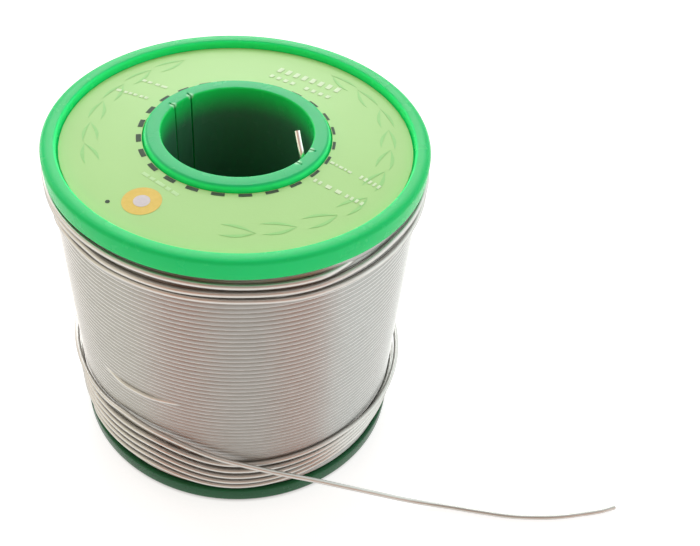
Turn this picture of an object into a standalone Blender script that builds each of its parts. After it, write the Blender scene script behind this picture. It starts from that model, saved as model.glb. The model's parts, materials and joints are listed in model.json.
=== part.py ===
"""A solder wire spool: two snap-on flanges, a hub barrel, two paper labels and one wire.

Metres, +Z up. The spool stands on its lower flange, with the bore's axis on Z.
Each piece is one object. The one continuous wire is split into six stretches.
"""
import math

import bmesh
import bpy
from mathutils import Vector

# Spool
SPOOL_HEIGHT = 0.0670          # collar face to collar face
MID_Z = SPOOL_HEIGHT / 2       # the two ends mirror each other about this height
FLANGE_R = 0.0340
BORE_R = 0.0134
FIT_GAP = 0.0003               # between pieces that touch

# Flange, as depths below its collar face
COLLAR_R = 0.0164
RIM_INNER_R = 0.0313
RIM_DEPTH = 0.0005
WEB_RIM_DEPTH = 0.0024         # the web rises a little from the rim to the collar
WEB_COLLAR_DEPTH = 0.0015
INNER_FACE_DEPTH = 0.0043
SLEEVE_R = 0.0145
SLEEVE_END_DEPTH = 0.0240
RIM_ROUND = 0.0006
COLLAR_ROUND = 0.0003

# Snap tongues in the sleeve
TONGUE_ANGLES = (138.0, -34.0)
TONGUE_HALF_ANGLE = 9.0
SLIT_WIDTH = 0.0004
SLIT_R = (0.0128, 0.0147)
HOOK_WIDTH = 0.0044
HOOK_TIP_R = 0.0153
HOOK_ROOT_R = 0.0140
HOOK_DEPTHS = (0.0185, 0.0192, 0.0213)
WINDOW_WIDTH = 0.0056
WINDOW_DEPTHS = (0.0181, 0.0214)

# Hole that the wire's start comes through
START_ANGLE = -55.0
START_DEPTH = 0.0095
START_HOLE_R = 0.0010
WALL_CUT_R = (0.0122, 0.0168)

# Barrel, labels and the solid wound part of the wire
BARREL_INNER_R = SLEEVE_R + FIT_GAP
BARREL_R = 0.0158
PACK_INNER_R = BARREL_R + FIT_GAP
PACK_R = 0.03305
LABEL_INNER_R = COLLAR_R + FIT_GAP
LABEL_R = RIM_INNER_R - FIT_GAP
LABEL_THICKNESS = 0.0002

# Wire
WIRE_R = 0.0005
LOOSE_R = PACK_R + FIT_GAP + WIRE_R
POINTS_PER_TURN = 36
CORD_STEP = 0.0029             # between points of the slack turn and the free end

# Heights of the loose turns' centre line: (turns and degrees round, height).
# The angle grows the way the wire is wound, counterclockwise seen from above.
TOP_TURNS = (
    (-165, 0.0588), (-131, 0.0582), (-90, 0.0583), (-70, 0.0578), (-47, 0.0580), (0, 0.0592),
    (90, 0.0599), (180, 0.0604), (221, 0.0603), (232, 0.0596), (250, 0.0595), (270, 0.05975),
    (290, 0.0594), (304, 0.0600), (322, 0.0611), (360, 0.0617), (450, 0.0618), (540, 0.0618),
    (590, 0.0617), (630, 0.0614), (665, 0.0612),
)
BOTTOM_TURNS = (
    (-165, 0.0073), (-123, 0.0074), (-92, 0.0059), (-50, 0.0086), (0, 0.0093), (90, 0.0089),
    (195, 0.0092), (237, 0.0096), (268, 0.0074), (310, 0.0099), (360, 0.0106), (450, 0.0104),
    (555, 0.0112), (597, 0.0117), (628, 0.0092), (670, 0.0112), (720, 0.0119), (810, 0.0120),
    (915, 0.0134), (957, 0.0139), (988, 0.0112), (1030, 0.0125), (1080, 0.0132), (1170, 0.0138),
    (1275, 0.0158), (1317, 0.0162), (1348, 0.0134), (1390, 0.0140),
)
# The slack last turn: (degrees round, radius, height)
SLACK_TURN = (
    (-49.4, 0.03390, 0.0140), (-30, 0.03450, 0.0144), (-10, 0.03470, 0.0151), (10, 0.03470, 0.0159),
    (40, 0.03450, 0.0167), (90, 0.03420, 0.0174), (135, 0.03430, 0.0186), (165, 0.03440, 0.0195),
    (185, 0.03425, 0.0196), (200, 0.03410, 0.0192), (214, 0.03400, 0.0192), (222, 0.03410, 0.0197), (230, 0.03420, 0.0204), (238, 0.03440, 0.0202),
    (245, 0.03455, 0.0199), (251, 0.03465, 0.0192), (257, 0.03478, 0.0181), (263, 0.03490, 0.0168),
    (269, 0.03500, 0.0155),
)
# The free end: off the slack turn, over the lower flange, down to the ground and along it
FREE_END = (
    (-0.00030, -0.03500, 0.01537), (0.0034, -0.0351, 0.0139), (0.0071, -0.0352, 0.0125),
    (0.0148, -0.0353, 0.0098), (0.0212, -0.0354, 0.0074), (0.0275, -0.0354, 0.0049),
    (0.0338, -0.0354, 0.0024), (0.0374, -0.0355, 0.0013), (0.0408, -0.0358, 0.0007),
    (0.0439, -0.0363, 0.00055), (0.0500, -0.0376, 0.00055), (0.0561, -0.0387, 0.00055),
    (0.0623, -0.0391, 0.00055), (0.0666, -0.0390, 0.00055), (0.0710, -0.0385, 0.00055),
    (0.0755, -0.0378, 0.00055), (0.0788, -0.0369, 0.00055),
)
# The start tail: through the hole in the hub, then up inside the bore
START_TAIL = (
    (0.00900, -0.01286, 0.0575), (0.00826, -0.01180, 0.0575), (0.00760, -0.01085, 0.0576),
    (0.00745, -0.00975, 0.0582), (0.00830, -0.00890, 0.0598), (0.00975, -0.00760, 0.0614),
    (0.01080, -0.00650, 0.0632), (0.01110, -0.00625, 0.0648), (0.01095, -0.00605, 0.0661),
    (0.01055, -0.00480, 0.0675), (0.01015, -0.00330, 0.0690),
)

# Meshing
SEGMENTS = 64
HOLE_SEGMENTS = 16
FILLET_STEPS = 3
CUT_MARGIN = 0.0005
SHARP_ANGLE = math.radians(35.0)


def clear_scene():
    for obj in list(bpy.data.objects):
        bpy.data.objects.remove(obj, do_unlink=True)


def material(name, colour, roughness, metallic=0.0):
    mat = bpy.data.materials.new(name)
    mat.use_nodes = True
    shader = mat.node_tree.nodes["Principled BSDF"]
    shader.inputs["Base Color"].default_value = (*colour, 1.0)
    shader.inputs["Roughness"].default_value = roughness
    shader.inputs["Metallic"].default_value = metallic
    mat.diffuse_color = (*colour, 1.0)
    return mat


def green_plastic():
    return material("green_plastic", (0.010, 0.330, 0.100), 0.25)


def label_paper():
    return material("label_paper", (0.480, 0.740, 0.330), 0.55)


def solder():
    return material("solder", (0.560, 0.550, 0.530), 0.32, 1.0)


def new_object(name, data, mat=None):
    obj = bpy.data.objects.new(name, data)
    bpy.context.scene.collection.objects.link(obj)
    if mat is not None and not data.materials:
        data.materials.append(mat)
    return obj


def finish_mesh(bm, name):
    bmesh.ops.recalc_face_normals(bm, faces=bm.faces)
    mesh = bpy.data.meshes.new(name)
    bm.to_mesh(mesh)
    bm.free()
    mesh.shade_smooth()
    mesh.set_sharp_from_angle(angle=SHARP_ANGLE)
    return mesh


def rounded(corners):
    """Outline through (radius, height, fillet radius) corners, with each fillet as a short arc."""
    outline = []
    for index, (radius, height, fillet) in enumerate(corners):
        corner = Vector((radius, height))
        if fillet == 0:
            outline.append(corner)
            continue
        before = Vector(corners[index - 1][:2])
        after = Vector(corners[(index + 1) % len(corners)][:2])
        back = (before - corner).normalized()
        ahead = (after - corner).normalized()
        centre = corner + (back + ahead) * fillet
        for step in range(FILLET_STEPS + 1):
            turn = math.pi / 2 * step / FILLET_STEPS
            outline.append(centre - ahead * fillet * math.cos(turn) - back * fillet * math.sin(turn))
    return outline


def revolved(name, corners):
    """Closed ring: the outline of the corners spun once round Z."""
    bm = bmesh.new()
    verts = [bm.verts.new((point.x, 0.0, point.y)) for point in rounded(corners)]
    edges = [bm.edges.new((verts[i - 1], verts[i])) for i in range(len(verts))]
    bmesh.ops.spin(
        bm, geom=verts + edges, cent=(0, 0, 0), axis=(0, 0, 1),
        angle=math.tau, steps=SEGMENTS, use_merge=True,
    )
    return finish_mesh(bm, name)


def ring_corners(inner, outer, bottom, top):
    return [(inner, bottom, 0), (outer, bottom, 0), (outer, top, 0), (inner, top, 0)]


def at_depth(depth):
    """Height above the spool's middle of a depth below the upper collar face."""
    return MID_Z - depth


def at_angle(angle, radius, side, height):
    """Point at a radius along a direction, moved sideways from it."""
    turn = math.radians(angle)
    outward = Vector((math.cos(turn), math.sin(turn), 0))
    sideways = Vector((-math.sin(turn), math.cos(turn), 0))
    return outward * radius + sideways * side + Vector((0, 0, height))


def add_prism(bm, angle, outline, width):
    """Solid with an outline of (radius, height) points, its width across the direction."""
    near = [bm.verts.new(at_angle(angle, r, -width / 2, z)) for r, z in outline]
    far = [bm.verts.new(at_angle(angle, r, width / 2, z)) for r, z in outline]
    bm.faces.new(near)
    bm.faces.new(reversed(far))
    for i in range(len(outline)):
        bm.faces.new((near[i - 1], far[i - 1], far[i], near[i]))


def add_box(bm, angle, radii, depths, width):
    inner, outer = radii
    top, bottom = at_depth(depths[0]), at_depth(depths[1])
    add_prism(bm, angle, [(inner, bottom), (outer, bottom), (outer, top), (inner, top)], width)


def add_start_hole(bm):
    """Round pin along the radius, where the wire's start passes through the hub."""
    rings = []
    for radius in WALL_CUT_R:
        ring = []
        for step in range(HOLE_SEGMENTS):
            turn = math.tau * step / HOLE_SEGMENTS
            side = START_HOLE_R * math.cos(turn)
            height = at_depth(START_DEPTH) + START_HOLE_R * math.sin(turn)
            ring.append(bm.verts.new(at_angle(START_ANGLE, radius, side, height)))
        rings.append(ring)
    inner, outer = rings
    bm.faces.new(inner)
    bm.faces.new(reversed(outer))
    for i in range(HOLE_SEGMENTS):
        bm.faces.new((inner[i - 1], outer[i - 1], outer[i], inner[i]))


def flange_mesh():
    rim_top = at_depth(RIM_DEPTH)
    inner_face = at_depth(INNER_FACE_DEPTH)
    return revolved("flange", [
        (BORE_R, at_depth(SLEEVE_END_DEPTH), 0),
        (SLEEVE_R, at_depth(SLEEVE_END_DEPTH), 0),
        (SLEEVE_R, inner_face, 0),
        (FLANGE_R, inner_face, RIM_ROUND),
        (FLANGE_R, rim_top, RIM_ROUND),
        (RIM_INNER_R, rim_top, RIM_ROUND),
        (RIM_INNER_R, at_depth(WEB_RIM_DEPTH), 0),
        (COLLAR_R, at_depth(WEB_COLLAR_DEPTH), 0),
        (COLLAR_R, MID_Z, COLLAR_ROUND),
        (BORE_R, MID_Z, COLLAR_ROUND),
    ])


def slit_mesh():
    """Cutter of one flange: two slits beside each tongue, and the start hole."""
    bm = bmesh.new()
    depths = (-CUT_MARGIN, SLEEVE_END_DEPTH + CUT_MARGIN)
    for tongue in TONGUE_ANGLES:
        for side in (-TONGUE_HALF_ANGLE, TONGUE_HALF_ANGLE):
            add_box(bm, tongue + side, SLIT_R, depths, SLIT_WIDTH)
    add_start_hole(bm)
    return finish_mesh(bm, "flange_cut")


def hook_mesh():
    """Barbs on the tongues of one flange."""
    catch, land, tip = (at_depth(depth) for depth in HOOK_DEPTHS)
    outline = [
        (HOOK_ROOT_R, catch), (HOOK_ROOT_R, tip), (SLEEVE_R - CUT_MARGIN / 5, tip),
        (HOOK_TIP_R, land), (HOOK_TIP_R, catch),
    ]
    bm = bmesh.new()
    for tongue in TONGUE_ANGLES:
        add_prism(bm, tongue, outline, HOOK_WIDTH)
    return finish_mesh(bm, "flange_hooks")


def window_mesh():
    """Cutter of one end of the barrel: a window for each hook, and the start hole."""
    bm = bmesh.new()
    for tongue in TONGUE_ANGLES:
        add_box(bm, tongue, WALL_CUT_R, WINDOW_DEPTHS, WINDOW_WIDTH)
    add_start_hole(bm)
    return finish_mesh(bm, "barrel_cut")


def place(obj, turned_over):
    """Upper pieces stand as modelled. Lower ones are the same pieces turned over."""
    obj.location.z = MID_Z
    obj.rotation_euler.x = math.pi if turned_over else 0.0


def add_boolean(target, operation, tool):
    tool.hide_render = True
    tool.display_type = "WIRE"
    cut = target.modifiers.new(tool.name, "BOOLEAN")
    cut.operation = operation
    cut.solver = "EXACT"
    cut.object = tool


def build_flanges(mat):
    ring, slits, hooks = flange_mesh(), slit_mesh(), hook_mesh()
    for name, turned_over in (("upper_flange", False), ("lower_flange", True)):
        flange = new_object(name, ring, mat)
        cutter = new_object(name + "_cut", slits)
        barbs = new_object(name + "_hooks", hooks)
        for obj in (flange, cutter, barbs):
            place(obj, turned_over)
        add_boolean(flange, "DIFFERENCE", cutter)
        add_boolean(flange, "UNION", barbs)


def build_barrel(mat):
    top = at_depth(INNER_FACE_DEPTH + FIT_GAP)
    mesh = revolved("hub_barrel", ring_corners(BARREL_INNER_R, BARREL_R, -top, top))
    barrel = new_object("hub_barrel", mesh, mat)
    place(barrel, False)
    windows = window_mesh()
    for name, turned_over in (("barrel_cut_top", False), ("barrel_cut_bottom", True)):
        cutter = new_object(name, windows)
        place(cutter, turned_over)
        add_boolean(barrel, "DIFFERENCE", cutter)


def build_labels(mat):
    mesh = revolved("label", [
        (LABEL_INNER_R, at_depth(WEB_COLLAR_DEPTH - FIT_GAP), 0),
        (LABEL_R, at_depth(WEB_RIM_DEPTH - FIT_GAP), 0),
        (LABEL_R, at_depth(WEB_RIM_DEPTH - FIT_GAP - LABEL_THICKNESS), 0),
        (LABEL_INNER_R, at_depth(WEB_COLLAR_DEPTH - FIT_GAP - LABEL_THICKNESS), 0),
    ])
    for name, turned_over in (("upper_label", False), ("lower_label", True)):
        place(new_object(name, mesh, mat), turned_over)


def build_wire_pack(mat):
    top = at_depth(INNER_FACE_DEPTH + FIT_GAP)
    mesh = revolved("wire_pack", ring_corners(PACK_INNER_R, PACK_R, -top, top))
    place(new_object("wire_pack", mesh, mat), False)


def smooth_value(keys, x):
    """Monotone cubic through (x, value) keys, so that turns don't overshoot into each other."""
    i = 0
    while i < len(keys) - 2 and x > keys[i + 1][0]:
        i += 1
    slopes = [(b[1] - a[1]) / (b[0] - a[0]) for a, b in zip(keys, keys[1:])]

    def tangent(k):
        if k in (0, len(keys) - 1):
            return slopes[min(k, len(slopes) - 1)]
        before, after = slopes[k - 1], slopes[k]
        return 0.0 if before * after <= 0 else 2 * before * after / (before + after)

    width = keys[i + 1][0] - keys[i][0]
    t = (x - keys[i][0]) / width
    start, end = keys[i][1], keys[i + 1][1]
    return (
        start * (1 + 2 * t) * (1 - t) ** 2 + end * t * t * (3 - 2 * t)
        + width * (tangent(i) * t * (1 - t) ** 2 - tangent(i + 1) * t * t * (1 - t))
    )


def turn_points(heights, radius):
    """Centre line of loose turns at one radius, from (degrees round, height) keys."""
    first, last = heights[0][0], heights[-1][0]
    count = round((last - first) / 360 * POINTS_PER_TURN)
    points = []
    for step in range(count + 1):
        angle = first + (last - first) * step / count
        points.append(at_angle(angle, radius, 0, smooth_value(heights, angle)))
    return points


def slack_points():
    """Centre line of the slack turn, from its (degrees, radius, height) keys."""
    radii = [(angle, radius) for angle, radius, _ in SLACK_TURN]
    heights = [(angle, height) for angle, _, height in SLACK_TURN]
    first, last = SLACK_TURN[0][0], SLACK_TURN[-1][0]
    count = round(math.radians(last - first) * LOOSE_R / CORD_STEP)
    points = []
    for step in range(count + 1):
        angle = first + (last - first) * step / count
        points.append(at_angle(angle, smooth_value(radii, angle), 0, smooth_value(heights, angle)))
    return points


def route_points(route, step):
    """Evenly spaced points of a smooth curve through the route's own points."""
    knots = [Vector(point) for point in route]
    knots = [2 * knots[0] - knots[1]] + knots + [2 * knots[-1] - knots[-2]]
    points = [knots[1]]
    for a, b, c, d in zip(knots, knots[1:], knots[2:], knots[3:]):
        count = max(1, round((c - b).length / step))
        for k in range(1, count + 1):
            t = k / count
            points.append(0.5 * (
                2 * b + (c - a) * t + (2 * a - 5 * b + 4 * c - d) * t ** 2
                + (3 * b - a - 3 * c + d) * t ** 3
            ))
    return points


def wire(name, points, mat, bevel_resolution):
    """Round wire along the points, with flat closed ends."""
    curve = bpy.data.curves.new(name, "CURVE")
    curve.dimensions = "3D"
    curve.bevel_depth = WIRE_R
    curve.bevel_resolution = bevel_resolution
    curve.use_fill_caps = True
    spline = curve.splines.new("POLY")
    spline.points.add(len(points) - 1)
    for knot, point in zip(spline.points, points):
        knot.co = (*point, 1.0)
    return new_object(name, curve, mat)


def build_wires(mat):
    wire("wire_top_turns", turn_points(TOP_TURNS, LOOSE_R), mat, 1)
    wire("wire_bottom_turns", turn_points(BOTTOM_TURNS, LOOSE_R), mat, 1)
    wire("wire_slack_turn", slack_points(), mat, 2)
    wire("wire_free_end", route_points(FREE_END, CORD_STEP), mat, 2)
    wire("wire_start_tail", route_points(START_TAIL, CORD_STEP / 2), mat, 2)


def main():
    clear_scene()
    plastic = green_plastic()
    paper = label_paper()
    metal = solder()
    build_flanges(plastic)
    build_barrel(plastic)
    build_labels(paper)
    build_wire_pack(metal)
    build_wires(metal)


main()
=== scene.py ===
"""Looks of the solder wire spool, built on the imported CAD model. Metres, +Z up."""
import json
import math

import bmesh
import bpy
from mathutils import Matrix, Vector, noise

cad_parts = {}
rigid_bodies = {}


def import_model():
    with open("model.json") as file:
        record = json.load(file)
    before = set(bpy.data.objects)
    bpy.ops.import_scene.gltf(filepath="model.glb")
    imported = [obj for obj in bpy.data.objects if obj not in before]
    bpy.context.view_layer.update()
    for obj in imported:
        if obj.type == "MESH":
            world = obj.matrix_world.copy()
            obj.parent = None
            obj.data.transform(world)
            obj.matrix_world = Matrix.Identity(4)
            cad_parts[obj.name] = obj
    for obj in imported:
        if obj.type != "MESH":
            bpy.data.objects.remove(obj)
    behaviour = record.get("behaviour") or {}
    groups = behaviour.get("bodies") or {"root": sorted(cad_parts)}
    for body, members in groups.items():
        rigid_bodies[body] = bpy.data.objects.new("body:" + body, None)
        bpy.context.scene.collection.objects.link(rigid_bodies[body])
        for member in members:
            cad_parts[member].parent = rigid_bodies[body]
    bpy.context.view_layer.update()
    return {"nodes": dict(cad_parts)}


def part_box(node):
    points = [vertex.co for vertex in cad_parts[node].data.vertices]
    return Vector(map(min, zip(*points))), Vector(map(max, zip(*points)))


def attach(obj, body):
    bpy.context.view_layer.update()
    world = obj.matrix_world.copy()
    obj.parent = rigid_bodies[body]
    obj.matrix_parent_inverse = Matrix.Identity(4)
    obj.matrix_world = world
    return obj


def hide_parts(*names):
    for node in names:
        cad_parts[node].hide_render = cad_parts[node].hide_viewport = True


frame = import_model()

# Sizes of the spool, from the frame where it states them
FLANGE_LOW, FLANGE_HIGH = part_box("upper_flange")
PACK_LOW, PACK_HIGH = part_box("wire_pack")
_, LABEL_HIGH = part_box("upper_label")
FLANGE_R = FLANGE_HIGH.x
SPOOL_HEIGHT = FLANGE_HIGH.z
MID_Z = SPOOL_HEIGHT / 2
PACK_R = PACK_HIGH.x
LABEL_R = LABEL_HIGH.x
SLEEVE_END_DEPTH = FLANGE_HIGH.z - FLANGE_LOW.z

FIT_GAP = 0.0003               # between pieces that touch, as in the CAD model

# Flange, as depths below its collar face, as in the CAD model
BORE_R = 0.0134
COLLAR_R = 0.0164
SLEEVE_R = 0.0145
RIM_INNER_R = 0.0313
RIM_DEPTH = 0.0005
WEB_RIM_DEPTH = 0.0024         # the web rises a little from the rim to the collar
WEB_COLLAR_DEPTH = 0.0015
INNER_FACE_DEPTH = 0.0043
RIM_CROWN = 0.00015            # the rim's top is a little domed
RIM_OUTER_ROUND = 0.0006
RIM_INNER_ROUND = 0.0005
RIM_LOWER_ROUND = 0.0006
COLLAR_OUTER_ROUND = 0.0008
COLLAR_INNER_ROUND = 0.0003
ROOT_ROUND = 0.0003
TONGUE_ANGLES = (138.0, -34.0)
TONGUE_HALF_ANGLE = 9.0
SLIT_ANGLES = tuple(
    tongue + side for tongue in TONGUE_ANGLES for side in (-TONGUE_HALF_ANGLE, TONGUE_HALF_ANGLE)
)
SLIT_WIDTH = 0.0004
SLIT_R = (0.0128, 0.0147)
HOOK_WIDTH = 0.0044
HOOK_OUTLINE = (               # (radius, depth) corners
    (0.0140, 0.0185), (0.0153, 0.0185), (0.0153, 0.0192), (0.0144, 0.0213), (0.0140, 0.0213),
)
START_ANGLE = -55.0
START_DEPTH = 0.0095
START_HOLE_R = 0.0010
SLEEVE_CUT_R = (0.0122, 0.0152)
CUT_MARGIN = 0.0005
FLANGE_SEGMENTS = 192
FILLET_STEPS = 6
HOLE_SEGMENTS = 24
SHARP_DEGREES = 35.0           # edges that turn by more than this stay sharp

# Green plastic, with painted light and shade laid on parts of it in the flange's own frame: each green
# comes in between a pair's two values
UPPER_GREENS = ((0.010, 0.565, 0.155), (0.012, 0.590, 0.168))
# The lower flange's green is the upper flange's plastic painted much darker: painted shade.
SHADED_LOWER_GREENS = ((0.008, 0.082, 0.030), (0.010, 0.094, 0.035))
# The collar top's green, darker than the rest of the upper flange: painted shade.
COLLAR_PAINTED_SHADE = (0.014, 0.490, 0.165)
COLLAR_TOP = (0.0162, 0.0158)   # radii
# Between the collar and the rim, where the recess walls show, the green is painted brighter: painted light.
RECESS_PAINTED_LIGHT = (0.020, 0.950, 0.260)
RECESS_WALLS = ((0.0159, 0.0163), (0.0318, 0.0314))   # radii
# The bore wall is painted brighter (painted light), then darker with depth down the bore (painted shade).
BORE_PAINTED_LIGHT = (0.012, 0.740, 0.150)
BORE_WALL = (0.0137, 0.01345)   # radii
BORE_PAINTED_SHADE = (0.060, 0.220, 0.130)
BORE_DARKENS = (0.0335, 0.0275)   # heights
# Pale patches at the ends of the slits, at the bore's edge: painted highlight.
SLIT_PAINTED_HIGHLIGHT = (0.36, 0.74, 0.48)
SLIT_HIGHLIGHT_R = BORE_R + COLLAR_INNER_ROUND
SLIT_HIGHLIGHT_REACH = (0.0009, 0.0003)   # distances from a slit's end
PLASTIC_CLOUDS = 40.0          # scales of the noise
PLASTIC_GRAIN = 300.0
PLASTIC_ROUGHNESS = (0.25, 0.28)
PLASTIC_SPECULAR = 0.14
PLASTIC_SUBSURFACE = 0.35
PLASTIC_SPREAD = (0.2, 1.0, 0.45)   # of red, green and blue light, within SPREAD_DEPTH
SPREAD_DEPTH = 0.002

# Other materials: pairs of colours that noise mixes, and of roughnesses
NOISE_SPAN = (0.3, 0.7)        # within which the noise mostly stays
PAPER_GREENS = ((0.340, 0.622, 0.194), (0.356, 0.644, 0.208))
PAPER_CLOUDS = 45.0
PAPER_ROUGHNESS = 0.45
PAPER_FIBRES = 2500.0
FIBRE_DETAIL = 4.0
FIBRE_DEPTH = 0.00001
# The solder greys are one wire at three brightnesses: the winding painted darker (painted shade), the loose
# turns and free end lighter and the start tail near white (painted light).
WOUND_GREYS_SHADED = ((0.395, 0.390, 0.374), (0.420, 0.415, 0.400))
LOOSE_GREYS_LIT = ((0.590, 0.582, 0.550), (0.630, 0.622, 0.595))
START_GREYS_LIT = ((0.930, 0.925, 0.900), (0.960, 0.955, 0.935))
WOUND_ROUGHNESS = (0.38, 0.42)
LOOSE_ROUGHNESS = (0.36, 0.42)
START_ROUGHNESS = (0.30, 0.36)
# Colours at a grazing angle: a painted sheen on the winding's edges, and painted shade on the edges of the
# loose wire and the tail.
GRAZED_PAINTED_SHEEN = (0.98, 0.98, 0.96)
GRAZED_PAINTED_SHADE = (0.38, 0.38, 0.36)
GRAZING_FROM = (0.44, 0.97)    # of Layer Weight's facing value
TIN_PATCHES = 250.0
PATCH_DETAIL = 3.0
PATCH_STRETCH = (1.0, 1.0, 2.0)
TIN_GRAIN = 600.0
BRUSHED = 0.8                  # strength of the wound wire's anisotropy
BRUSHED_TURN = 0.25
INK_COVER = 1500.0
INK_SPECULAR = 0.25

# Inks: (name, low, high, roughness)
FLUX_AMBER = ("flux_core_amber", (0.55, 0.30, 0.06), (0.65, 0.38, 0.10), 0.3)
INK_DARK = ("ink_dark_green", (0.040, 0.070, 0.042), (0.052, 0.084, 0.052), 0.6)
INK_GREEN = ("ink_soft_green", (0.285, 0.620, 0.205), (0.305, 0.640, 0.220), 0.45)
INK_AMBER = ("ink_amber", (0.700, 0.500, 0.090), (0.740, 0.540, 0.110), 0.45)
INK_WHITE = ("ink_white", (0.600, 0.770, 0.490), (0.660, 0.810, 0.560), 0.45)
INK_FAINT = ("ink_faint_white", (0.470, 0.740, 0.350), (0.500, 0.760, 0.390), 0.45)
INK_GREY = ("ink_grey", (0.580, 0.540, 0.580), (0.640, 0.600, 0.640), 0.45)

# Wire
WIRE_R = 0.0005
WIRE_D = 2 * WIRE_R
LOOSE_R = PACK_R + FIT_GAP + WIRE_R
LOOSE_CLEARANCE = 0.00005      # between the tight winding and the loose turns that lie on it
WOUND_R = LOOSE_R - WIRE_R - LOOSE_CLEARANCE
PACK_INNER_R = 0.0161
ANGLE_STEP = 2.5               # degrees between points along the turns
PROFILE_STEPS = 6              # across one turn of the tight winding
SPARE_TURNS = 2                # wound beyond the pack's height, then cut off
TURNS_BELOW = 1.5              # of the pack's lower end, where the winding starts
CUT_TOLERANCE = 1e-7
WINDING_SHARP_DEGREES = 60.0
GROOVE_DEPTH = 0.42            # of the wire's radius, between two tight turns
WIRE_WANDER = 0.00001
WANDER_R = 2                   # of a turn's circle through the noise
WANDER_STEP = 7.3              # through the noise, from turn to turn
TUCK_ANGLE = 14.0              # over which a loose turn's end dips under the winding
TUCK_DEPTH = 0.0012
SLACK_AFTER = 4 * 360          # degrees from the bottom turns' zero to the slack turn's
TURN_BEVEL = 4                 # bevel resolutions
TAIL_BEVEL = 6
TAIL_RESOLUTION = 8            # along the curve
CORE_R = WIRE_R * 0.36
CORE_THICKNESS = 0.00002
CORE_POINTS = 16

# Heights of the loose turns' centre line: (degrees round, counted on from turn to turn, and height)
TOP_TURNS = (
    (-165, 0.0588), (-131, 0.0582), (-90, 0.0583), (-70, 0.0578), (-47, 0.0580), (0, 0.0592),
    (90, 0.0599), (180, 0.0604), (221, 0.0603), (232, 0.0596), (250, 0.0595), (270, 0.05975),
    (290, 0.0594), (304, 0.0600), (322, 0.0611), (360, 0.0617), (450, 0.0618), (540, 0.0618),
    (590, 0.0617), (630, 0.0614), (665, 0.0612),
)
BOTTOM_TURNS = (
    (-165, 0.0073), (-123, 0.0074), (-92, 0.0059), (-50, 0.0086), (0, 0.0093), (90, 0.0089),
    (195, 0.0092), (237, 0.0096), (268, 0.0074), (310, 0.0099), (360, 0.0106), (450, 0.0104),
    (555, 0.0112), (597, 0.0117), (628, 0.0092), (670, 0.0112), (720, 0.0119), (810, 0.0120),
    (915, 0.0134), (957, 0.0139), (988, 0.0112), (1030, 0.0125), (1080, 0.0132), (1170, 0.0138),
    (1275, 0.0158), (1317, 0.0162), (1348, 0.0134), (1390, 0.0140),
)
# The slack last turn: (degrees round, radius, height)
SLACK_TURN = (
    (-49.4, 0.03390, 0.0140), (-30, 0.03450, 0.0144), (-10, 0.03470, 0.0151), (10, 0.03470, 0.0159),
    (40, 0.03450, 0.0167), (90, 0.03420, 0.0174), (135, 0.03430, 0.0186), (165, 0.03440, 0.0195),
    (185, 0.03425, 0.0196), (200, 0.03410, 0.0192), (214, 0.03400, 0.0192), (222, 0.03410, 0.0197),
    (230, 0.03420, 0.0204), (238, 0.03440, 0.0202), (245, 0.03455, 0.0199), (251, 0.03465, 0.0192),
    (257, 0.03478, 0.0181), (263, 0.03490, 0.0168), (269, 0.03500, 0.0155),
)
SLACK_JOINS = (269.5, 0.03500, 0.01537)   # where the slack turn meets the free end
# One turn that rides up on the tight winding for a short way: (degrees round, radius, height)
STRAY_TURN = (
    (217, 0.0325, 0.0286), (224, 0.0330, 0.0286), (231, 0.0334, 0.0286), (239, 0.0334, 0.0287),
    (247, 0.0330, 0.0290), (256, 0.0325, 0.0294),
)
# The free end: off the slack turn, over the lower flange, down to the ground and along it
FREE_END = (
    (-0.00030, -0.03500, 0.01537), (0.0034, -0.0351, 0.0139), (0.0071, -0.0352, 0.0125),
    (0.0148, -0.0353, 0.0098), (0.0212, -0.0354, 0.0074), (0.0275, -0.0354, 0.0049),
    (0.0338, -0.0354, 0.0024), (0.0374, -0.0355, 0.0013), (0.0408, -0.0358, 0.0007),
    (0.0439, -0.0363, 0.00055), (0.0500, -0.0376, 0.00055), (0.0561, -0.0387, 0.00055),
    (0.0623, -0.0391, 0.00055), (0.0666, -0.0390, 0.00055), (0.0710, -0.0385, 0.00055),
    (0.0755, -0.0378, 0.00055), (0.0788, -0.0369, 0.00055),
)
# The start tail: through the hole in the hub, then up inside the bore
START_TAIL = (
    (0.00900, -0.01286, 0.0575), (0.00826, -0.01180, 0.0575), (0.00760, -0.01085, 0.0576),
    (0.00745, -0.00975, 0.0582), (0.00830, -0.00890, 0.0598), (0.00975, -0.00760, 0.0614),
    (0.01080, -0.00650, 0.0632), (0.01110, -0.00625, 0.0648), (0.01095, -0.00605, 0.0661),
    (0.01055, -0.00480, 0.0675), (0.01015, -0.00330, 0.0690),
)

# Label print: a ring of dashes, leaves in two wreath branches, and block rows in place of text
PRINT_CENTRE = Vector((-0.0002, 0.0))
PRINT_LIFT = 0.00002
PRINT_THICKNESS = 0.00002
LAYER_STEP = 0.00003
DASH_COUNT = 24
DASH_START = -85.3
DASH_R = (0.0160, 0.0175)
LABEL_INNER_R = COLLAR_R + FIT_GAP
LABEL_THICKNESS = 0.0002
LABEL_RIM_TOP = SPOOL_HEIGHT - WEB_RIM_DEPTH + FIT_GAP + LABEL_THICKNESS
PRINT_MARGIN = 0.0001
PRINT_INNER_R = LABEL_INNER_R + PRINT_MARGIN
LEAF_TIPS = (
    (-84, 0.0260), (-69, 0.0260), (-53, 0.0266), (-38, 0.0271), (-21, 0.0268), (-7, 0.0270), (6, 0.0273),
    (20, 0.0281), (35, 0.0278), (49, 0.0278), (-175, 0.0265), (171, 0.0264), (156, 0.0268), (142, 0.0270),
    (127, 0.0274), (112, 0.0276),
)
LEAF_BRANCH = (-90, 60)        # azimuths of the branch whose leaves turn clockwise
LEAF_TURN = 12.5
LEAF_SPREAD = (-0.0020, 0.0004)
LEAF_WIDTH = 0.00065
LEAF_BOW = 0.00045
LEAF_STEPS = 8
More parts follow.
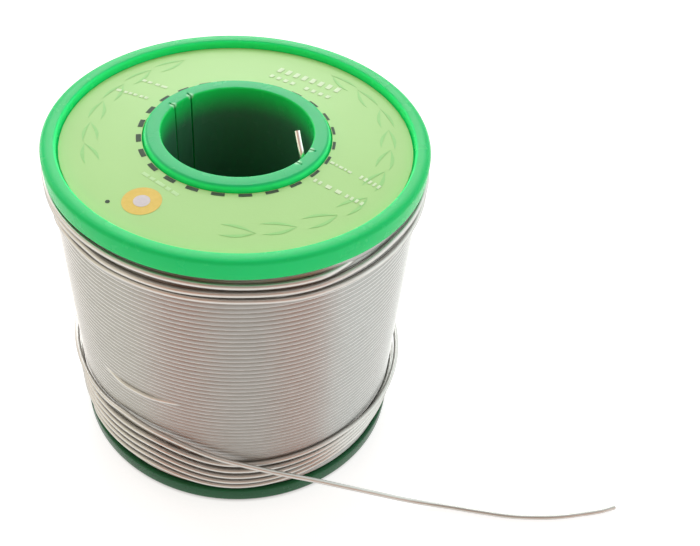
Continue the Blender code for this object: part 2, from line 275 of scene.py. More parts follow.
SPOT_CENTRE = (-0.0155, -0.0182)
SPOT_R = 0.0033
BUTTON_R = 0.0014
SPOT_POINTS = 32
DOT_CENTRE = (-0.0210, -0.0181)
DOT_R = 0.0004
DOT_POINTS = 16
# Block rows: (start, end, height, widths of blocks and gaps in turn)
PRINT_ROWS = (
    ((-0.0224, 0.0148), (-0.0164, 0.0113), 0.0007, (3, 2, 2, 1, 2, 1, 2, 2, 2, 1, 2)),
    ((-0.0178, 0.0180), (-0.0131, 0.0149), 0.0007, (2, 1, 2, 2, 2, 1, 3)),
    ((0.0080, 0.0223), (0.0192, 0.0152), 0.0018, (2, 2, 2, 2, 2, 2, 2, 2, 2, 2, 2, 2, 2, 2, 2)),
    ((0.0063, 0.0199), (0.0171, 0.0125), 0.0011, (1, 1, 1, 1, 1, 1, 1, 3, 1, 1, 1, 1, 1, 1, 1)),
    ((0.0158, -0.0078), (0.0192, -0.0105), 0.0006, (2, 1, 1, 1, 2, 1, 1, 1, 2)),
    ((0.0206, -0.0114), (0.0237, -0.0140), 0.0010, (1, 1, 1, 1, 1, 1, 1, 1, 1)),
    ((0.0127, -0.0128), (0.0204, -0.0184), 0.0009, (1, 1, 1, 2, 2, 2, 2, 2, 1, 1, 1, 1, 1, 1, 1)),
)
NOTE_ROW = ((-0.0158, -0.0111), (-0.0097, -0.0170), 0.0007, (3, 1, 2, 1, 4, 1, 2, 1, 3))

# Camera
CAMERA_AT = Vector((0.0, -0.13019, 0.15386))
CAMERA_AHEAD = Vector((0.05931, 0.65083, -0.75691))
CAMERA_RIGHT = Vector((0.99823, -0.04231, 0.04184))
CAMERA_LENS = 44.30
CAMERA_SENSOR = 36.0
CAMERA_CLIP = (0.005, 20.0)
CAMERA_SHIFT = (0.0857, 0.1386)

# Studio: what stands round the table, by azimuth from +X, the ceiling and one soft lamp behind the spool
BRIGHT_SCREEN = (2.30, 2.30, 2.28)
WHITE_WALL = (1.00, 1.08, 1.06)
CREAM_WALL = (0.82, 0.78, 0.64)
GREY_WALL = (0.44, 0.39, 0.33)
BROWN_WALL = (0.50, 0.36, 0.28)
PINK_WALL = (0.70, 0.50, 0.42)
BEIGE_CURTAIN = (0.50, 0.17, 0.08)
WALLS = (
    (-180, CREAM_WALL), (-150, CREAM_WALL), (-140, PINK_WALL), (-130, BEIGE_CURTAIN),
    (-117, BEIGE_CURTAIN), (-104, BROWN_WALL), (-92, GREY_WALL), (-74, GREY_WALL),
    (-61, BEIGE_CURTAIN), (-44, BEIGE_CURTAIN), (-32, WHITE_WALL), (95, WHITE_WALL),
    (118, WHITE_WALL), (134, BRIGHT_SCREEN), (150, PINK_WALL), (168, CREAM_WALL), (180, CREAM_WALL),
)
LOW_WALL_GAIN = 1.8            # the walls are brighter low down
LOW_WALL_FROM = (0.42, 0.20)   # heights of the direction looked in, as for the ceiling
CEILING = (0.5, 0.5, 0.5)
CEILING_FROM = (0.80, 0.95)
LAMP_TOWARDS = (0.0, 0.79, 0.61)
LAMP = (5.2, 5.2, 5.2)
LAMP_FROM = (0.93, 0.98)
FLOOR_GREY = (0.44, 0.44, 0.44)
FLOOR_ROUGHNESS = 0.9
FLOOR_REACH = 3.0              # from the spool to its edges
TABLE_GLOW = 0.76
TABLE_GLOW_FROM = (0.0325, 0.0342)   # radii


# ---------------------------------------------------------------- materials

def new_material(name):
    mat = bpy.data.materials.new(name)
    mat.use_nodes = True
    return mat, mat.node_tree, mat.node_tree.nodes["Principled BSDF"]


def object_position(tree, scale=(1.0, 1.0, 1.0)):
    where = tree.nodes.new("ShaderNodeTexCoord")
    mapping = tree.nodes.new("ShaderNodeMapping")
    mapping.inputs["Scale"].default_value = scale
    tree.links.new(where.outputs["Object"], mapping.inputs["Vector"])
    return mapping.outputs["Vector"]


def noise_value(tree, scale, detail=3.0, stretch=(1.0, 1.0, 1.0)):
    node = tree.nodes.new("ShaderNodeTexNoise")
    node.inputs["Scale"].default_value = scale
    node.inputs["Detail"].default_value = detail
    tree.links.new(object_position(tree, stretch), node.inputs["Vector"])
    return node.outputs["Fac"]


def between(tree, factor, low, high):
    """The noise's usual span spread over low to high."""
    node = tree.nodes.new("ShaderNodeMapRange")
    node.inputs["From Min"].default_value, node.inputs["From Max"].default_value = NOISE_SPAN
    node.inputs["To Min"].default_value = low
    node.inputs["To Max"].default_value = high
    tree.links.new(factor, node.inputs["Value"])
    return node.outputs["Result"]


def mixed_colour(tree, factor, low, high):
    node = tree.nodes.new("ShaderNodeMix")
    node.data_type = "RGBA"
    node.inputs["A"].default_value = (*low, 1.0)
    node.inputs["B"].default_value = (*high, 1.0)
    tree.links.new(between(tree, factor, 0.0, 1.0), node.inputs["Factor"])
    return node.outputs["Result"]


def layered(tree, over, cover, under):
    """The under colour with another laid over it as its cover rises from 0 to 1."""
    mix = tree.nodes.new("ShaderNodeMix")
    mix.data_type = "RGBA"
    tree.links.new(cover, mix.inputs["Factor"])
    tree.links.new(under, mix.inputs["A"])
    mix.inputs["B"].default_value = (*over, 1.0)
    return mix.outputs["Result"]


def rising(tree, value, start, end, low=0.0, high=1.0):
    """Low until the value comes to the start and high from the end on, smoothly."""
    node = tree.nodes.new("ShaderNodeMapRange")
    node.interpolation_type = "SMOOTHSTEP"
    node.inputs["From Min"].default_value = start
    node.inputs["From Max"].default_value = end
    node.inputs["To Min"].default_value = low
    node.inputs["To Max"].default_value = high
    tree.links.new(value, node.inputs["Value"])
    return node.outputs["Result"]


def product(tree, first, second):
    node = tree.nodes.new("ShaderNodeMath")
    node.operation = "MULTIPLY"
    tree.links.new(first, node.inputs[0])
    tree.links.new(second, node.inputs[1])
    return node.outputs["Value"]


def add_bump(tree, shader, height, distance):
    bump = tree.nodes.new("ShaderNodeBump")
    bump.inputs["Distance"].default_value = distance
    bump.inputs["Strength"].default_value = 1.0
    tree.links.new(height, bump.inputs["Height"])
    tree.links.new(bump.outputs["Normal"], shader.inputs["Normal"])


def green_plastic(name, low, high):
    """Glossy moulded plastic: it glows in thin walls. Its colour carries painted highlights at the slits,
    painted light on the recess walls and the bore wall, and painted shade on the collar top and down the
    bore.
    """
    mat, tree, shader = new_material(name)
    colour = mixed_colour(tree, noise_value(tree, PLASTIC_CLOUDS), low, high)
    where = object_position(tree)
    split = tree.nodes.new("ShaderNodeSeparateXYZ")
    tree.links.new(where, split.inputs["Vector"])
    flat = tree.nodes.new("ShaderNodeVectorMath")
    flat.operation = "MULTIPLY"
    flat.inputs[1].default_value = (1.0, 1.0, 0.0)
    tree.links.new(where, flat.inputs[0])
    radius = tree.nodes.new("ShaderNodeVectorMath")
    radius.operation = "LENGTH"
    tree.links.new(flat.outputs["Vector"], radius.inputs[0])
    radius = radius.outputs["Value"]
    colour = layered(tree, COLLAR_PAINTED_SHADE, rising(tree, radius, *COLLAR_TOP), colour)
    lit_recess = product(tree, *(rising(tree, radius, *edge) for edge in RECESS_WALLS))
    colour = layered(tree, RECESS_PAINTED_LIGHT, lit_recess, colour)
    inside = rising(tree, radius, *BORE_WALL)
    colour = layered(tree, BORE_PAINTED_LIGHT, inside, colour)
    bore_shade = product(tree, inside, rising(tree, split.outputs["Z"], *BORE_DARKENS))
    colour = layered(tree, BORE_PAINTED_SHADE, bore_shade, colour)
    for slit in SLIT_ANGLES:
        reach = tree.nodes.new("ShaderNodeVectorMath")
        reach.operation = "DISTANCE"
        reach.inputs[1].default_value = at_angle(slit, SLIT_HIGHLIGHT_R, 0, MID_Z)
        tree.links.new(where, reach.inputs[0])
        slit_highlight = rising(tree, reach.outputs["Value"], *SLIT_HIGHLIGHT_REACH)
        colour = layered(tree, SLIT_PAINTED_HIGHLIGHT, slit_highlight, colour)
    tree.links.new(colour, shader.inputs["Base Color"])
    roughness = between(tree, noise_value(tree, PLASTIC_GRAIN), *PLASTIC_ROUGHNESS)
    tree.links.new(roughness, shader.inputs["Roughness"])
    shader.inputs["Specular IOR Level"].default_value = PLASTIC_SPECULAR
    shader.inputs["Subsurface Weight"].default_value = PLASTIC_SUBSURFACE
    shader.inputs["Subsurface Radius"].default_value = PLASTIC_SPREAD
    shader.inputs["Subsurface Scale"].default_value = SPREAD_DEPTH
    return mat


def label_paper():
    mat, tree, shader = new_material("label_paper_pale_green")
    clouds = noise_value(tree, PAPER_CLOUDS)
    tree.links.new(mixed_colour(tree, clouds, *PAPER_GREENS), shader.inputs["Base Color"])
    shader.inputs["Roughness"].default_value = PAPER_ROUGHNESS
    add_bump(tree, shader, noise_value(tree, PAPER_FIBRES, FIBRE_DETAIL), FIBRE_DEPTH)
    return mat


def ink(name, low, high, roughness):
    """Printed ink with slightly uneven cover."""
    mat, tree, shader = new_material(name)
    cover = noise_value(tree, INK_COVER)
    tree.links.new(mixed_colour(tree, cover, low, high), shader.inputs["Base Color"])
    shader.inputs["Roughness"].default_value = roughness
    shader.inputs["Specular IOR Level"].default_value = INK_SPECULAR
    return mat


def solder(name, low, high, grazing_paint, roughness):
    """Drawn tin wire with a satin surface and faint duller patches; at a grazing angle its colour turns to
    the grazing paint, painted light and shade at the wire's edges.
    """
    mat, tree, shader = new_material(name)
    shader.inputs["Metallic"].default_value = 1.0
    patches = noise_value(tree, TIN_PATCHES, PATCH_DETAIL, PATCH_STRETCH)
    facing = tree.nodes.new("ShaderNodeLayerWeight").outputs["Facing"]
    colour = mixed_colour(tree, patches, low, high)
    colour = layered(tree, grazing_paint, rising(tree, facing, *GRAZING_FROM), colour)
    tree.links.new(colour, shader.inputs["Base Color"])
    tree.links.new(between(tree, noise_value(tree, TIN_GRAIN), *roughness), shader.inputs["Roughness"])
    return mat


def brush_along(mat):
    """The die's fine lines along the wire spread its reflections up and down the winding."""
    tree = mat.node_tree
    shader = tree.nodes["Principled BSDF"]
    around = tree.nodes.new("ShaderNodeTangent")
    around.direction_type = "RADIAL"
    around.axis = "Z"
    tree.links.new(around.outputs["Tangent"], shader.inputs["Tangent"])
    shader.inputs["Anisotropic"].default_value = BRUSHED
    shader.inputs["Anisotropic Rotation"].default_value = BRUSHED_TURN


# ---------------------------------------------------------------- mesh helpers

def new_object(name, data, mat):
    obj = bpy.data.objects.new(name, data)
    bpy.context.scene.collection.objects.link(obj)
    data.materials.clear()
    data.materials.append(mat)
    return obj


def shade(mesh, sharp_degrees=SHARP_DEGREES):
    mesh.shade_smooth()
    mesh.set_sharp_from_angle(angle=math.radians(sharp_degrees))


def finish_mesh(bm, name, sharp_degrees=SHARP_DEGREES):
    bmesh.ops.recalc_face_normals(bm, faces=bm.faces)
    if bm.calc_volume(signed=True) < 0:
        bmesh.ops.reverse_faces(bm, faces=bm.faces)
    mesh = bpy.data.meshes.new(name)
    bm.to_mesh(mesh)
    bm.free()
    shade(mesh, sharp_degrees)
    return mesh


def at_depth(depth):
    return MID_Z - depth


def at_angle(angle, radius, side, height):
    """Point at a radius along a direction, moved sideways from it."""
    turn = math.radians(angle)
    outward = Vector((math.cos(turn), math.sin(turn), 0))
    sideways = Vector((-math.sin(turn), math.cos(turn), 0))
    return outward * radius + sideways * side + Vector((0, 0, height))


def smooth_value(keys, x):
    """Monotone cubic through (x, value) keys, as in the CAD model."""
    i = 0
    while i < len(keys) - 2 and x > keys[i + 1][0]:
        i += 1
    slopes = [(b[1] - a[1]) / (b[0] - a[0]) for a, b in zip(keys, keys[1:])]

    def tangent(k):
        if k in (0, len(keys) - 1):
            return slopes[min(k, len(slopes) - 1)]
        before, after = slopes[k - 1], slopes[k]
        return 0.0 if before * after <= 0 else 2 * before * after / (before + after)

    width = keys[i + 1][0] - keys[i][0]
    t = (x - keys[i][0]) / width
    start, end = keys[i][1], keys[i + 1][1]
    return (
        start * (1 + 2 * t) * (1 - t) ** 2 + end * t * t * (3 - 2 * t)
        + width * (tangent(i) * t * (1 - t) ** 2 - tangent(i + 1) * t * t * (1 - t))
    )


# ---------------------------------------------------------------- flanges

def rounded(corners):
    """Outline through (radius, height, fillet radius) corners, with each fillet as an arc."""
    outline = []
    for index, (radius, height, fillet) in enumerate(corners):
        corner = Vector((radius, height))
        if fillet == 0:
            outline.append(corner)
            continue
        back = (Vector(corners[index - 1][:2]) - corner).normalized()
        ahead = (Vector(corners[(index + 1) % len(corners)][:2]) - corner).normalized()
        centre = corner + (back + ahead) * fillet
        for step in range(FILLET_STEPS + 1):
            turn = math.pi / 2 * step / FILLET_STEPS
            outline.append(centre - ahead * fillet * math.cos(turn) - back * fillet * math.sin(turn))
    return outline


def flange_ring():
    rim_top = at_depth(RIM_DEPTH)
    inner_face = at_depth(INNER_FACE_DEPTH)
    sleeve_end = at_depth(SLEEVE_END_DEPTH)
    outline = rounded([
        (BORE_R, sleeve_end, COLLAR_INNER_ROUND),
        (SLEEVE_R, sleeve_end, COLLAR_INNER_ROUND),
        (SLEEVE_R, inner_face, 0),
        (FLANGE_R, inner_face, RIM_LOWER_ROUND),
        (FLANGE_R, rim_top - RIM_CROWN, RIM_OUTER_ROUND),
        ((FLANGE_R + RIM_INNER_R) / 2, rim_top, 0),
        (RIM_INNER_R, rim_top - RIM_CROWN, RIM_INNER_ROUND),
        (RIM_INNER_R, at_depth(WEB_RIM_DEPTH), ROOT_ROUND),
        (COLLAR_R, at_depth(WEB_COLLAR_DEPTH), ROOT_ROUND),
        (COLLAR_R, MID_Z, COLLAR_OUTER_ROUND),
        (BORE_R, MID_Z, COLLAR_INNER_ROUND),
    ])
    bm = bmesh.new()
    verts = [bm.verts.new((point.x, 0.0, point.y)) for point in outline]
    edges = [bm.edges.new((verts[i - 1], verts[i])) for i in range(len(verts))]
    bmesh.ops.spin(
        bm, geom=verts + edges, cent=(0, 0, 0), axis=(0, 0, 1),
        angle=math.tau, steps=FLANGE_SEGMENTS, use_merge=True,
    )
    return finish_mesh(bm, "flange_ring")


def add_prism(bm, angle, outline, width):
    """Solid with an outline of (radius, height) points, its width across the direction."""
    near = [bm.verts.new(at_angle(angle, r, -width / 2, z)) for r, z in outline]
    far = [bm.verts.new(at_angle(angle, r, width / 2, z)) for r, z in outline]
    bm.faces.new(near)
    bm.faces.new(reversed(far))
    for i in range(len(outline)):
        bm.faces.new((near[i - 1], far[i - 1], far[i], near[i]))


def add_start_hole(bm):
    rings = []
    for radius in SLEEVE_CUT_R:
        ring = []
        for step in range(HOLE_SEGMENTS):
            turn = math.tau * step / HOLE_SEGMENTS
            side = START_HOLE_R * math.cos(turn)
            height = at_depth(START_DEPTH) + START_HOLE_R * math.sin(turn)
            ring.append(bm.verts.new(at_angle(START_ANGLE, radius, side, height)))
        rings.append(ring)
    inner, outer = rings
    bm.faces.new(inner)
    bm.faces.new(reversed(outer))
    for i in range(HOLE_SEGMENTS):
        bm.faces.new((inner[i - 1], outer[i - 1], outer[i], inner[i]))


def flange_cut():
    bm = bmesh.new()
    inner, outer = SLIT_R
    top, bottom = at_depth(-CUT_MARGIN), at_depth(SLEEVE_END_DEPTH + CUT_MARGIN)
    outline = [(inner, bottom), (outer, bottom), (outer, top), (inner, top)]
    for slit in SLIT_ANGLES:
        add_prism(bm, slit, outline, SLIT_WIDTH)
    add_start_hole(bm)
    return finish_mesh(bm, "flange_cut")


def flange_hooks():
    bm = bmesh.new()
    outline = [(radius, at_depth(depth)) for radius, depth in reversed(HOOK_OUTLINE)]
    for tongue in TONGUE_ANGLES:
        add_prism(bm, tongue, outline, HOOK_WIDTH)
    return finish_mesh(bm, "flange_hooks")


def flange_mesh():
    """The ring with its slits and hooks, applied, so that both flanges share one mesh."""
    ring = bpy.data.objects.new("flange_ring", flange_ring())
    tools = [
        (bpy.data.objects.new("flange_cut", flange_cut()), "DIFFERENCE"),
        (bpy.data.objects.new("flange_hooks", flange_hooks()), "UNION"),
    ]
    links = bpy.context.scene.collection.objects
    links.link(ring)
    for tool, operation in tools:
        links.link(tool)
        step = ring.modifiers.new(tool.name, "BOOLEAN")
        step.operation = operation
        step.object = tool
    evaluated = ring.evaluated_get(bpy.context.evaluated_depsgraph_get())
    mesh = bpy.data.meshes.new_from_object(evaluated)
    for obj in (ring, *(tool for tool, _ in tools)):
        bpy.data.objects.remove(obj)
    shade(mesh)
    return mesh


def build_flanges(upper, lower):
    mesh = flange_mesh()
    for node, turn, mat in (("upper_flange", 0.0, upper), ("lower_flange", math.pi, lower)):
        flange = new_object(node + "_moulding", mesh.copy(), mat)
        flange.matrix_world = Matrix.Translation((0, 0, MID_Z)) @ Matrix.Rotation(turn, 4, "X")
        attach(flange, "root")
        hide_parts(node)


# ---------------------------------------------------------------- wire

def open_edges(bm):
    return [edge for edge in bm.edges if edge.is_boundary]


def build_winding():
    """The tight winding: a helical surface, half round at each turn, cut level and closed at its ends."""
    low, high = PACK_LOW.z, PACK_HIGH.z
    turns = math.ceil((high - low) / WIRE_D) + SPARE_TURNS
    columns = round(360 / ANGLE_STEP)
    rows = turns * PROFILE_STEPS + 1
    bm = bmesh.new()
    grid = []
    for row in range(rows):
        across = row / PROFILE_STEPS
        line = []
        for column in range(columns):
            turn = column / columns
            angle = math.tau * turn
            arc = math.cos(math.pi * (across % 1.0 - 0.5))
            along = (math.floor(across) + turn) * WANDER_STEP
            wander = noise.noise(Vector((WANDER_R * math.cos(angle), WANDER_R * math.sin(angle), along)))
            radius = WOUND_R - WIRE_R * GROOVE_DEPTH * (1 - arc) - WIRE_WANDER * (1 + wander)
            z = low + (across + turn - TURNS_BELOW) * WIRE_D
            line.append(bm.verts.new((radius * math.cos(angle), radius * math.sin(angle), z)))
        grid.append(line)
    for row in range(rows - 1):
        for column in range(columns):
            after = (column + 1) % columns
            other = row + (PROFILE_STEPS if after == 0 else 0)   # a whole turn on joins one turn up
            if other + 1 < rows:
                near, far = (grid[row], grid[row + 1]), (grid[other], grid[other + 1])
                bm.faces.new((near[0][column], far[0][after], far[1][after], near[1][column]))
    for height, way in ((low, -1), (high, 1)):
        bmesh.ops.bisect_plane(
            bm, geom=bm.verts[:] + bm.edges[:] + bm.faces[:], dist=CUT_TOLERANCE,
            plane_co=(0, 0, height), plane_no=(0, 0, way), clear_outer=True,
        )
    ends = bmesh.ops.extrude_edge_only(bm, edges=open_edges(bm))["geom"]
    for vert in ends:
        if isinstance(vert, bmesh.types.BMVert):
            flat = Vector((vert.co.x, vert.co.y)).normalized() * PACK_INNER_R
            vert.co.x, vert.co.y = flat
    bmesh.ops.bridge_loops(bm, edges=open_edges(bm))
    return bm


def round_wire(name, bevel):
    curve = bpy.data.curves.new(name, "CURVE")
    curve.dimensions = "3D"
    curve.bevel_depth = WIRE_R
    curve.bevel_resolution = bevel
    curve.use_fill_caps = True
    return curve


def wire_curve(name, points, mat):
    """Round wire straight from point to point, for points that lie close."""
    curve = round_wire(name, TURN_BEVEL)
    spline = curve.splines.new("POLY")
    spline.points.add(len(points) - 1)
    for knot, point in zip(spline.points, points):
        knot.co = (*point, 1.0)
    spline.use_smooth = True
    return new_object(name, curve, mat)


def turn_points(keys):
    """Centre line of (degrees, radius, height) keys."""
    radii = [(angle, radius) for angle, radius, _ in keys]
    heights = [(angle, height) for angle, _, height in keys]
    first, last = keys[0][0], keys[-1][0]
    count = round((last - first) / ANGLE_STEP)
    angles = [first + (last - first) * step / count for step in range(count + 1)]
    return [at_angle(a, smooth_value(radii, a), 0, smooth_value(heights, a)) for a in angles]


def loose_turns(heights, last_tucked):
    """Keys at the loose turns' radius: the last end is tucked in as the first, or meets the slack turn."""
    first, last = heights[0], heights[-1]
    keys = [(first[0], LOOSE_R - TUCK_DEPTH, first[1]), (first[0] + TUCK_ANGLE, LOOSE_R, first[1])]
    keys += [(angle, LOOSE_R, height) for angle, height in heights[1:-1]]
    if last_tucked:
        return keys + [(last[0] - TUCK_ANGLE, LOOSE_R, last[1]), (last[0], LOOSE_R - TUCK_DEPTH, last[1])]
    return keys + [(last[0], LOOSE_R, last[1]), (SLACK_AFTER + SLACK_TURN[0][0], *SLACK_TURN[0][1:])]


def smooth_curve(name, route, mat):
    """Round wire on one smooth curve through the route's own points."""
    curve = round_wire(name, TAIL_BEVEL)
    curve.resolution_u = TAIL_RESOLUTION
    spline = curve.splines.new("BEZIER")
    spline.bezier_points.add(len(route) - 1)
    for knot, point in zip(spline.bezier_points, route):
        knot.co = point
        knot.handle_left_type = "AUTO"
        knot.handle_right_type = "AUTO"
    return new_object(name, curve, mat)


def build_wires(wound, loose, bright):
    winding = finish_mesh(build_winding(), "wire_winding", WINDING_SHARP_DEGREES)
    top = turn_points(loose_turns(TOP_TURNS, last_tucked=True))
    bottom = turn_points(loose_turns(BOTTOM_TURNS, last_tucked=False))
    pieces = [
        (new_object("wire_winding", winding, wound), "wire_pack"),
        (wire_curve("wire_turns_top", top, loose), "wire_top_turns"),
        (wire_curve("wire_turns_bottom", bottom, loose), "wire_bottom_turns"),
        (wire_curve("wire_turn_slack", turn_points((*SLACK_TURN, SLACK_JOINS)), loose), "wire_slack_turn"),
        (wire_curve("wire_turn_stray", turn_points(STRAY_TURN), loose), None),
        (smooth_curve("wire_tail_start", START_TAIL, bright), "wire_start_tail"),
    ]
    for piece, node in pieces:
        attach(piece, "root")
        if node:
            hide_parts(node)
    free = smooth_curve("wire_end_free", FREE_END, loose)
    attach(free, "root")
    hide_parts("wire_free_end")


def build_core(name, route, mat):
    """The flux core, seen as a dot in the wire's cut end."""
    tip, before = Vector(route[-1]), Vector(route[-2])
    ahead = (tip - before).normalized()
    bm = bmesh.new()
    bmesh.ops.create_circle(bm, cap_ends=True, segments=CORE_POINTS, radius=CORE_R)
    lift = bmesh.ops.extrude_face_region(bm, geom=bm.faces[:])["geom"]
    face = [vert for vert in lift if isinstance(vert, bmesh.types.BMVert)]
    bmesh.ops.translate(bm, verts=face, vec=(0, 0, CORE_THICKNESS))
    turn = ahead.to_track_quat("Z", "Y").to_matrix().to_4x4()
    bm.transform(Matrix.Translation(tip) @ turn)
    core = new_object(name, finish_mesh(bm, name), mat)
    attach(core, "root")


# ---------------------------------------------------------------- label print

def label_top(x, y):
    """Height of the upper label's face, which rises from the rim to the collar."""
    rise = (LABEL_R - math.hypot(x, y)) / (LABEL_R - LABEL_INNER_R)
    return LABEL_RIM_TOP + (LABEL_HIGH.z - LABEL_RIM_TOP) * rise


def print_piece(name, shapes, mat, layer=0):
    """Ink lying on the upper label: shapes of (x, y) points, a hair thick."""
    bm = bmesh.new()
    lift = PRINT_LIFT + layer * LAYER_STEP
    for shape in shapes:
        low = [bm.verts.new((x, y, label_top(x, y) + lift)) for x, y in shape]
        high = [bm.verts.new((x, y, label_top(x, y) + lift + PRINT_THICKNESS)) for x, y in shape]
        bm.faces.new(reversed(low))
        bm.faces.new(high)
        for i in range(len(shape)):
            bm.faces.new((low[i - 1], low[i], high[i], high[i - 1]))
    piece = new_object(name, finish_mesh(bm, name), mat)
    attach(piece, "root")


def direction(angle):
    return Vector((math.cos(math.radians(angle)), math.sin(math.radians(angle))))


def on_label(angle, radius):
    """Point of the print, whose centre is a little off the spool's axis, kept off the collar."""
    point = PRINT_CENTRE + direction(angle) * radius
    if point.length < PRINT_INNER_R:
        point = point.normalized() * PRINT_INNER_R
    return point


def dash_shapes():
    half = 360 / DASH_COUNT / 4
    inner, outer = DASH_R
    shapes = []
    for k in range(DASH_COUNT):
        middle = DASH_START + k * 360 / DASH_COUNT
        angles = [middle + half * step for step in (-1, -0.5, 0, 0.5, 1)]
        shapes.append([on_label(a, inner) for a in angles] + [on_label(a, outer) for a in reversed(angles)])
    return shapes


def leaf_shapes():
    """Two slim bowed leaves from each tip, pointing on round the label on both sides."""
    shapes = []
    for azimuth, radius in LEAF_TIPS:
        back = -LEAF_TURN if LEAF_BRANCH[0] < azimuth < LEAF_BRANCH[1] else LEAF_TURN
        tip = direction(azimuth) * radius
        for spread in LEAF_SPREAD:
            end = direction(azimuth + back) * (radius + spread)
            middle = spread - sum(LEAF_SPREAD) / 2
            out = direction(azimuth + back / 2) * math.copysign(1.0, middle)
            left, right = [], []
            for step in range(LEAF_STEPS + 1):
                t = step / LEAF_STEPS
                swell = math.sin(math.pi * t)
                spine = tip.lerp(end, t) + out * LEAF_BOW * swell
                width = out * LEAF_WIDTH / 2 * swell
                left.append(spine + width)
                if 0 < step < LEAF_STEPS:
                    right.append(spine - width)
            shapes.append(left + right[::-1])
    return shapes


def bar_shapes(start, end, height, blocks):
    """A row of short blocks in place of a line of text."""
    start, end = Vector(start), Vector(end)
    along = (end - start).normalized()
    across = Vector((-along.y, along.x)) * height / 2
    total = (end - start).length
    pitch = total / sum(blocks)
    shapes = []
    at = 0.0
    for index, block in enumerate(blocks):
        if index % 2 == 0:
            a = start + along * at
            b = start + along * (at + block * pitch)
            shapes.append([a - across, b - across, b + across, a + across])
        at += block * pitch
    return shapes


def disc_shape(centre, radius, points):
    return [
        Vector(centre) + Vector((math.cos(math.tau * k / points), math.sin(math.tau * k / points))) * radius
        for k in range(points)
    ]


def build_print():
    dark, white, faint = ink(*INK_DARK), ink(*INK_WHITE), ink(*INK_FAINT)
    print_piece("label_print_dashes", dash_shapes(), dark)
    print_piece("label_print_leaves", leaf_shapes(), ink(*INK_GREEN))
    print_piece("label_print_spot", [disc_shape(SPOT_CENTRE, SPOT_R, SPOT_POINTS)], ink(*INK_AMBER))
    print_piece("label_print_button", [disc_shape(SPOT_CENTRE, BUTTON_R, SPOT_POINTS)], ink(*INK_GREY), 1)
    print_piece("label_print_dot", [disc_shape(DOT_CENTRE, DOT_R, DOT_POINTS)], dark)
    print_piece("label_print_lines", [bar for row in PRINT_ROWS for bar in bar_shapes(*row)], white, 1)
    print_piece("label_print_note", bar_shapes(*NOTE_ROW), faint)


# ---------------------------------------------------------------- stage

def add_camera():
    data = bpy.data.cameras.new("camera")
    data.lens = CAMERA_LENS
    data.sensor_width = CAMERA_SENSOR
    data.shift_x, data.shift_y = CAMERA_SHIFT
    data.clip_start, data.clip_end = CAMERA_CLIP
    cam = bpy.data.objects.new("camera", data)
    bpy.context.scene.collection.objects.link(cam)
    up = CAMERA_RIGHT.cross(CAMERA_AHEAD)
    turn = Matrix((CAMERA_RIGHT, up, -CAMERA_AHEAD)).transposed().to_4x4()
    cam.matrix_world = Matrix.Translation(CAMERA_AT) @ turn
    bpy.context.scene.camera = cam


def add_floor():
    """White light table: it glows all round the spool, and not under it."""
    mat, tree, shader = new_material("floor_white")
    shader.inputs["Base Color"].default_value = (*FLOOR_GREY, 1.0)
    shader.inputs["Roughness"].default_value = FLOOR_ROUGHNESS
    shader.inputs["Emission Color"].default_value = (1.0, 1.0, 1.0, 1.0)
    reach = tree.nodes.new("ShaderNodeVectorMath")
    reach.operation = "LENGTH"
    tree.links.new(object_position(tree), reach.inputs[0])
    glow = tree.nodes.new("ShaderNodeMath")
    glow.operation = "MULTIPLY"
    glow.inputs[1].default_value = TABLE_GLOW
    tree.links.new(rising(tree, reach.outputs["Value"], *TABLE_GLOW_FROM), glow.inputs[0])
    tree.links.new(glow.outputs["Value"], shader.inputs["Emission Strength"])
    bm = bmesh.new()
    bmesh.ops.create_grid(bm, x_segments=2, y_segments=2, size=FLOOR_REACH)
    floor = new_object("floor", finish_mesh(bm, "floor"), mat)


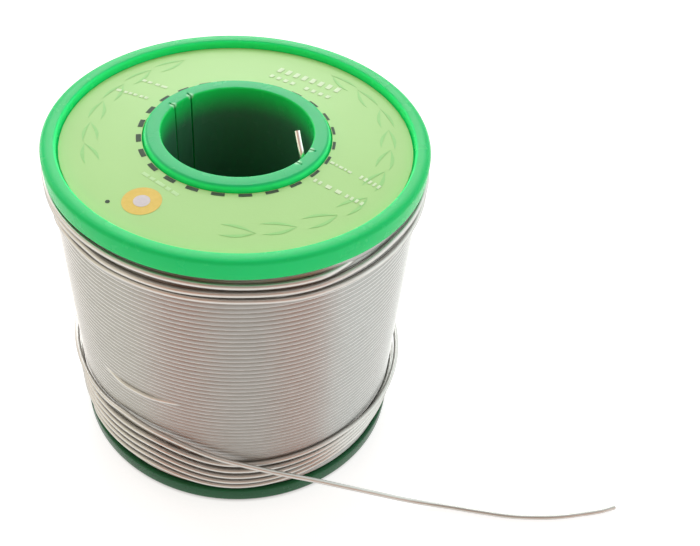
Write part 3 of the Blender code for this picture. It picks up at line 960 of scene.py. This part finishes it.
def add_world():
    world = bpy.data.worlds.new("studio")
    bpy.context.scene.world = world
    world.use_nodes = True
    tree = world.node_tree
    where = tree.nodes.new("ShaderNodeTexCoord").outputs["Generated"]
    split = tree.nodes.new("ShaderNodeSeparateXYZ")
    tree.links.new(where, split.inputs["Vector"])
    azimuth = tree.nodes.new("ShaderNodeMath")
    azimuth.operation = "ARCTAN2"
    tree.links.new(split.outputs["Y"], azimuth.inputs[0])
    tree.links.new(split.outputs["X"], azimuth.inputs[1])
    turn = tree.nodes.new("ShaderNodeMapRange")
    turn.inputs["From Min"].default_value = -math.pi
    turn.inputs["From Max"].default_value = math.pi
    tree.links.new(azimuth.outputs["Value"], turn.inputs["Value"])
    walls = tree.nodes.new("ShaderNodeValToRGB")
    ramp = walls.color_ramp
    while len(ramp.elements) < len(WALLS):
        ramp.elements.new(0.5)
    for stop, (angle, colour) in zip(ramp.elements, WALLS):
        stop.position = (angle + 180) / 360
        stop.color = (*colour, 1.0)
    tree.links.new(turn.outputs["Result"], walls.inputs["Fac"])
    towards_lamp = tree.nodes.new("ShaderNodeVectorMath")
    towards_lamp.operation = "DOT_PRODUCT"
    towards_lamp.inputs[1].default_value = LAMP_TOWARDS
    tree.links.new(where, towards_lamp.inputs[0])
    sky = layered(tree, CEILING, rising(tree, split.outputs["Z"], *CEILING_FROM), walls.outputs["Color"])
    sky = layered(tree, LAMP, rising(tree, towards_lamp.outputs["Value"], *LAMP_FROM), sky)
    tree.links.new(sky, tree.nodes["Background"].inputs["Color"])
    gain = rising(tree, split.outputs["Z"], *LOW_WALL_FROM, low=1.0, high=LOW_WALL_GAIN)
    tree.links.new(gain, tree.nodes["Background"].inputs["Strength"])


def build_stage():
    bpy.context.scene.view_settings.view_transform = "Standard"
    add_camera()
    add_floor()
    add_world()


# ---------------------------------------------------------------- build

def build_cad_materials(plastic, paper):
    for node, mat in (("hub_barrel", plastic), ("upper_label", paper), ("lower_label", paper)):
        frame["nodes"][node].material_slots[0].material = mat


def main():
    upper = green_plastic("green_plastic_upper", *UPPER_GREENS)
    lower = green_plastic("green_plastic_lower_painted_shade", *SHADED_LOWER_GREENS)
    wound = solder("solder_wire_wound_painted_shade", *WOUND_GREYS_SHADED, GRAZED_PAINTED_SHEEN, WOUND_ROUGHNESS)
    brush_along(wound)
    loose = solder("solder_wire_loose_painted_light", *LOOSE_GREYS_LIT, GRAZED_PAINTED_SHADE, LOOSE_ROUGHNESS)
    bright = solder("solder_wire_start_painted_light", *START_GREYS_LIT, GRAZED_PAINTED_SHADE, START_ROUGHNESS)
    build_stage()
    build_wires(wound, loose, bright)
    build_flanges(upper, lower)
    build_cad_materials(upper, label_paper())
    build_print()
    core = ink(*FLUX_AMBER)
    build_core("flux_core_tip", FREE_END, core)
    build_core("flux_core_start", START_TAIL, core)


main()
